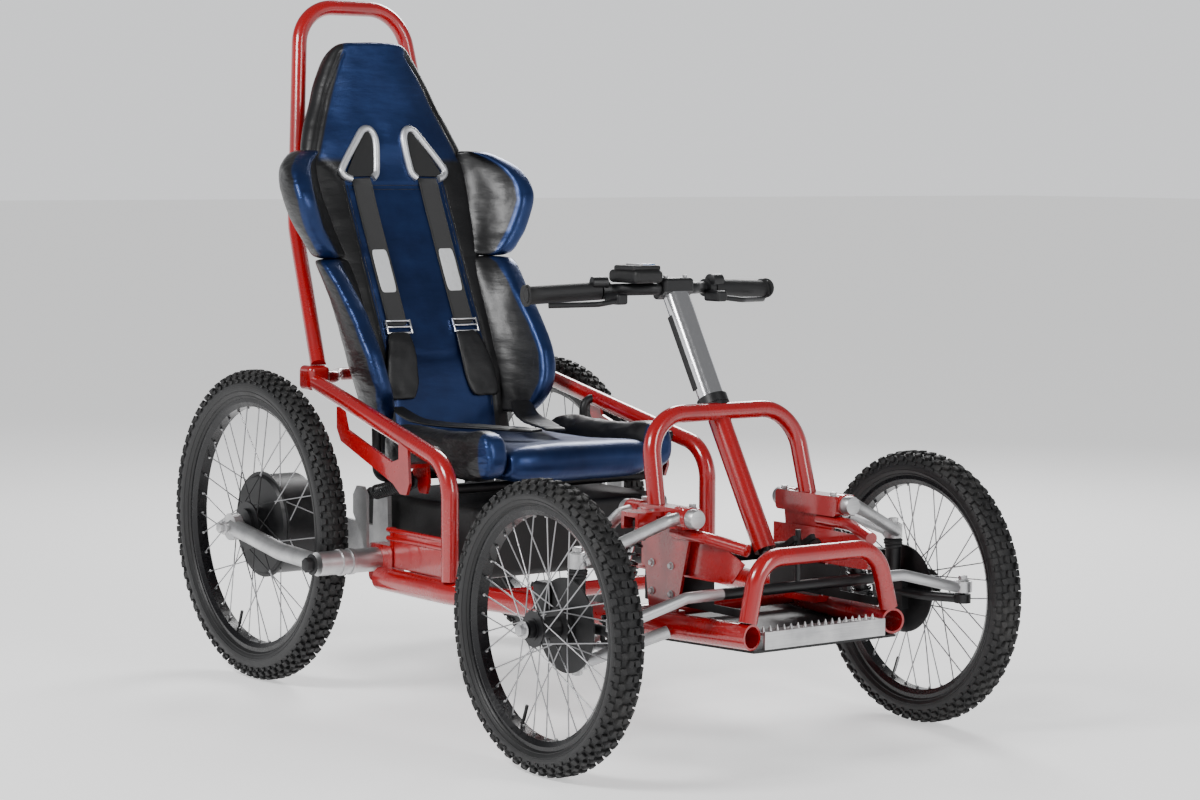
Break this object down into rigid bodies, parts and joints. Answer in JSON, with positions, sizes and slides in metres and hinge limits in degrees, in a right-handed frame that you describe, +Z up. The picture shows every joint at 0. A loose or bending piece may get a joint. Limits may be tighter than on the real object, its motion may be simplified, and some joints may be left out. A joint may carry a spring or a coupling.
{
  "type": "four-wheel all-terrain electric wheelchair",
  "caption": "Off-road powered wheelchair: tube frame on four spoked wheels, padded bucket seat with harness, roll hoop, foot well and handlebar steering.",
  "frame": {"origin": "on the ground, under the middle of the chair", "axes": "+Z up, the front faces -Y, +X is the rider's left"},
  "size_m": [0.942, 1.6574, 1.376],
  "materials": {
    "frame_red": "gloss powder coat",
    "black_metal": "satin black",
    "black_plastic": "matte",
    "bare_aluminium": "brushed",
    "polished_aluminium": "polished",
    "rim_black": "anodised black",
    "hub_black": "satin black",
    "tyre": "knobbly rubber",
    "grip_rubber": "matte",
    "seat_blue": "glossy vinyl",
    "seat_black": "grained vinyl",
    "webbing": "woven"
  },
  "bodies": {
    "chassis": {"main_tubes": "frame_red", "side_rails": "frame_red", "rear_crossbar": "frame_red", "roll_bar": "frame_red", "rail_plates": "frame_red", "front_hoop": "frame_red", "bumper_hoop": "frame_red", "nose_tubes": "frame_red", "suspension_brackets": "frame_red", "steering_post": "frame_red", "nose_panels": "frame_red", "side_panels": "frame_red", "post_collar": "black_metal", "nose_crossbar": "black_metal", "kick_panels": "black_plastic", "floor_pan": "black_plastic", "front_lip": "bare_aluminium", "battery_box": "black_plastic", "seat_frame": "black_metal", "rear_swingarms": "bare_aluminium", "rear_shocks": "black_metal", "upper_wishbones": "bare_aluminium", "lower_wishbones": "bare_aluminium", "front_shocks": "black_metal", "seat_back": "seat_blue", "shoulder_wings": "seat_black", "waist_bolsters": "seat_black", "seat_cushion": "seat_blue", "thigh_bolsters": "seat_black", "harness_bezels": "bare_aluminium", "harness_straps": "webbing"},
    "steering": {"steering_column": "black_metal", "stem": "polished_aluminium", "handlebar": "black_metal", "grips": "grip_rubber", "brake_levers": "black_metal", "control_pod": "black_plastic"},
    "knuckle_right": {"knuckle_right": "black_metal"},
    "knuckle_left": {"knuckle_left": "black_metal"},
    "tie_rod": {"tie_rod": "bare_aluminium"},
    "wheel_front_right": {"tyre_front_right": "tyre", "rim_front_right": "rim_black", "spoked_hub_front_right": "hub_black"},
    "wheel_front_left": {"tyre_front_left": "tyre", "rim_front_left": "rim_black", "spoked_hub_front_left": "hub_black"},
    "wheel_rear_right": {"tyre_rear_right": "tyre", "rim_rear_right": "rim_black", "spoked_hub_rear_right": "hub_black"},
    "wheel_rear_left": {"tyre_rear_left": "tyre", "rim_rear_left": "rim_black", "spoked_hub_rear_left": "hub_black"}
  },
  "joints": [
    {"name": "steering_turn", "type": "hinge", "parent": "chassis", "child": "steering", "pos_m": [0, -0.64, 0.361], "axis": [0, 0.513, 0.8584], "range_deg": [-40, 40]},
    {"name": "knuckle_right_steer", "type": "hinge", "parent": "chassis", "child": "knuckle_right", "pos_m": [-0.36, -0.575, 0.254], "axis": [0, 0, 1], "range_deg": [-21.7, 21.7]},
    {"name": "knuckle_left_steer", "type": "hinge", "parent": "chassis", "child": "knuckle_left", "pos_m": [0.36, -0.575, 0.254], "axis": [0, 0, 1], "range_deg": [-21.7, 21.7]},
    {"name": "tie_rod_swing", "type": "hinge", "parent": "knuckle_right", "child": "tie_rod", "pos_m": [-0.392, -0.729, 0.275], "axis": [0, 0, 1], "range_deg": [-19.8, 19.8]},
    {"name": "wheel_front_right_spin", "type": "hinge", "parent": "knuckle_right", "child": "wheel_front_right", "pos_m": [-0.426, -0.575, 0.254], "axis": [1, 0, 0], "continuous": true},
    {"name": "wheel_front_left_spin", "type": "hinge", "parent": "knuckle_left", "child": "wheel_front_left", "pos_m": [0.426, -0.575, 0.254], "axis": [1, 0, 0], "continuous": true},
    {"name": "wheel_rear_right_spin", "type": "hinge", "parent": "chassis", "child": "wheel_rear_right", "pos_m": [-0.36, 0.517, 0.3115], "axis": [1, 0, 0], "continuous": true},
    {"name": "wheel_rear_left_spin", "type": "hinge", "parent": "chassis", "child": "wheel_rear_left", "pos_m": [0.36, 0.517, 0.3115], "axis": [1, 0, 0], "continuous": true}
  ],
  "couplings": [
    {"joint": "knuckle_right_steer", "follows": "steering_turn", "ratio": 0.54},
    {"joint": "knuckle_left_steer", "follows": "steering_turn", "ratio": 0.54},
    {"joint": "tie_rod_swing", "follows": "steering_turn", "ratio": -0.495}
  ]
}
